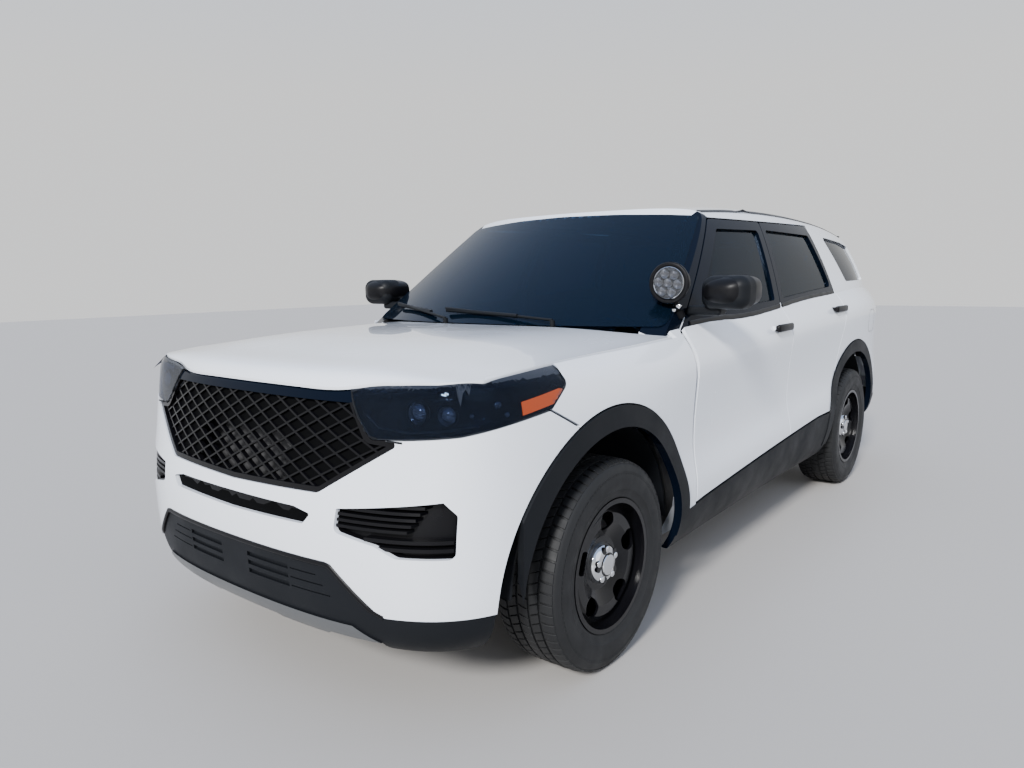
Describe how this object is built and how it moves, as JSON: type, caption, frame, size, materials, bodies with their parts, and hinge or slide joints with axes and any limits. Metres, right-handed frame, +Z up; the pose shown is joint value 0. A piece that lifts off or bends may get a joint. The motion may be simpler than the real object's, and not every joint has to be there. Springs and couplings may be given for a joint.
{
  "type": "police patrol car",
  "caption": "Five-door patrol utility car with opening doors, bonnet and tailgate, steered front wheels and a pillar lamp.",
  "frame": {"origin": "on the ground, under the middle of the overall length and width", "axes": "+Z up, the nose towards -Y, the driver's left side at +X"},
  "size_m": [2.268, 5.0494, 1.7653],
  "materials": {
    "white_paint": "gloss white clear coat",
    "dark_cladding": "grained moulding",
    "grille_black": "satin black",
    "lamp_smoke": "smoked lens",
    "lamp_red": "red lens",
    "tinted_glass": "tinted",
    "interior_trim": "soft moulding",
    "seat_cloth": "woven cloth",
    "underbody": "sealed",
    "chassis_iron": "painted casting",
    "exhaust_steel": "heat-dulled",
    "tyre_rubber": "new rubber",
    "wheel_black": "satin black"
  },
  "bodies": {
    "root": {"body_side_left": "white_paint", "body_side_right": "white_paint", "roof_panel": "white_paint", "front_wings": "white_paint", "front_bumper": "white_paint", "front_lower_fascia": "dark_cladding", "grille": "grille_black", "headlamps": "lamp_smoke", "windscreen": "tinted_glass", "glass_quarter": "tinted_glass", "rear_bumper": "white_paint", "rear_lower_fascia": "dark_cladding", "tail_lamps": "lamp_red", "cladding": "dark_cladding", "bulkhead": "dark_cladding", "floor_pan": "underbody", "wheel_liners": "dark_cladding", "front_seats": "seat_cloth", "rear_seat": "seat_cloth", "dashboard": "interior_trim", "steering_wheel": "interior_trim", "engine": "chassis_iron", "front_subframe": "chassis_iron", "rear_suspension": "chassis_iron", "fuel_tank": "underbody", "exhaust": "exhaust_steel", "spotlight": "grille_black", "wipers": "dark_cladding"},
    "hood": {"hood": "white_paint"},
    "tailgate": {"tailgate": "white_paint", "glass_tailgate": "tinted_glass"},
    "door_front_left": {"door_front_left": "white_paint", "glass_front_left": "tinted_glass", "mirror_left": "dark_cladding"},
    "door_rear_left": {"door_rear_left": "white_paint", "glass_rear_left": "tinted_glass"},
    "knuckle_left": {"knuckle_left": "chassis_iron"},
    "wheel_front_left": {"tyre_front_left": "tyre_rubber", "rim_front_left": "wheel_black"},
    "wheel_rear_left": {"tyre_rear_left": "tyre_rubber", "rim_rear_left": "wheel_black"},
    "door_front_right": {"door_front_right": "white_paint", "glass_front_right": "tinted_glass", "mirror_right": "dark_cladding"},
    "door_rear_right": {"door_rear_right": "white_paint", "glass_rear_right": "tinted_glass"},
    "knuckle_right": {"knuckle_right": "chassis_iron"},
    "wheel_front_right": {"tyre_front_right": "tyre_rubber", "rim_front_right": "wheel_black"},
    "wheel_rear_right": {"tyre_rear_right": "tyre_rubber", "rim_rear_right": "wheel_black"}
  },
  "joints": [
    {"name": "hood_hinge", "type": "hinge", "parent": "root", "child": "hood", "pos_m": [0, -1.094, 1.15], "axis": [-1, 0, 0], "range_deg": [0, 50]},
    {"name": "tailgate_hinge", "type": "hinge", "parent": "root", "child": "tailgate", "pos_m": [0, 2.151, 1.671], "axis": [1, 0, 0], "range_deg": [0, 80]},
    {"name": "door_front_left_hinge", "type": "hinge", "parent": "root", "child": "door_front_left", "pos_m": [0.956, -1.057, 0.8], "axis": [0, 0, -1], "range_deg": [0, 68]},
    {"name": "door_rear_left_hinge", "type": "hinge", "parent": "root", "child": "door_rear_left", "pos_m": [0.966, 0.138, 0.8], "axis": [0, 0, -1], "range_deg": [0, 68]},
    {"name": "steer_left", "type": "hinge", "parent": "root", "child": "knuckle_left", "pos_m": [0.78, -1.65, 0.3816], "axis": [0, 0, 1], "range_deg": [-32, 32]},
    {"name": "wheel_front_left_spin", "type": "hinge", "parent": "knuckle_left", "child": "wheel_front_left", "pos_m": [0.851, -1.65, 0.3816], "axis": [1, 0, 0], "continuous": true},
    {"name": "wheel_rear_left_spin", "type": "hinge", "parent": "root", "child": "wheel_rear_left", "pos_m": [0.851, 1.375, 0.3816], "axis": [1, 0, 0], "continuous": true},
    {"name": "door_front_right_hinge", "type": "hinge", "parent": "root", "child": "door_front_right", "pos_m": [-0.956, -1.057, 0.8], "axis": [0, 0, 1], "range_deg": [0, 68]},
    {"name": "door_rear_right_hinge", "type": "hinge", "parent": "root", "child": "door_rear_right", "pos_m": [-0.966, 0.138, 0.8], "axis": [0, 0, 1], "range_deg": [0, 68]},
    {"name": "steer_right", "type": "hinge", "parent": "root", "child": "knuckle_right", "pos_m": [-0.78, -1.65, 0.3816], "axis": [0, 0, 1], "range_deg": [-32, 32]},
    {"name": "wheel_front_right_spin", "type": "hinge", "parent": "knuckle_right", "child": "wheel_front_right", "pos_m": [-0.851, -1.65, 0.3816], "axis": [1, 0, 0], "continuous": true},
    {"name": "wheel_rear_right_spin", "type": "hinge", "parent": "root", "child": "wheel_rear_right", "pos_m": [-0.851, 1.375, 0.3816], "axis": [1, 0, 0], "continuous": true}
  ],
  "couplings": [
    {"joint": "steer_right", "follows": "steer_left", "ratio": 1}
  ]
}
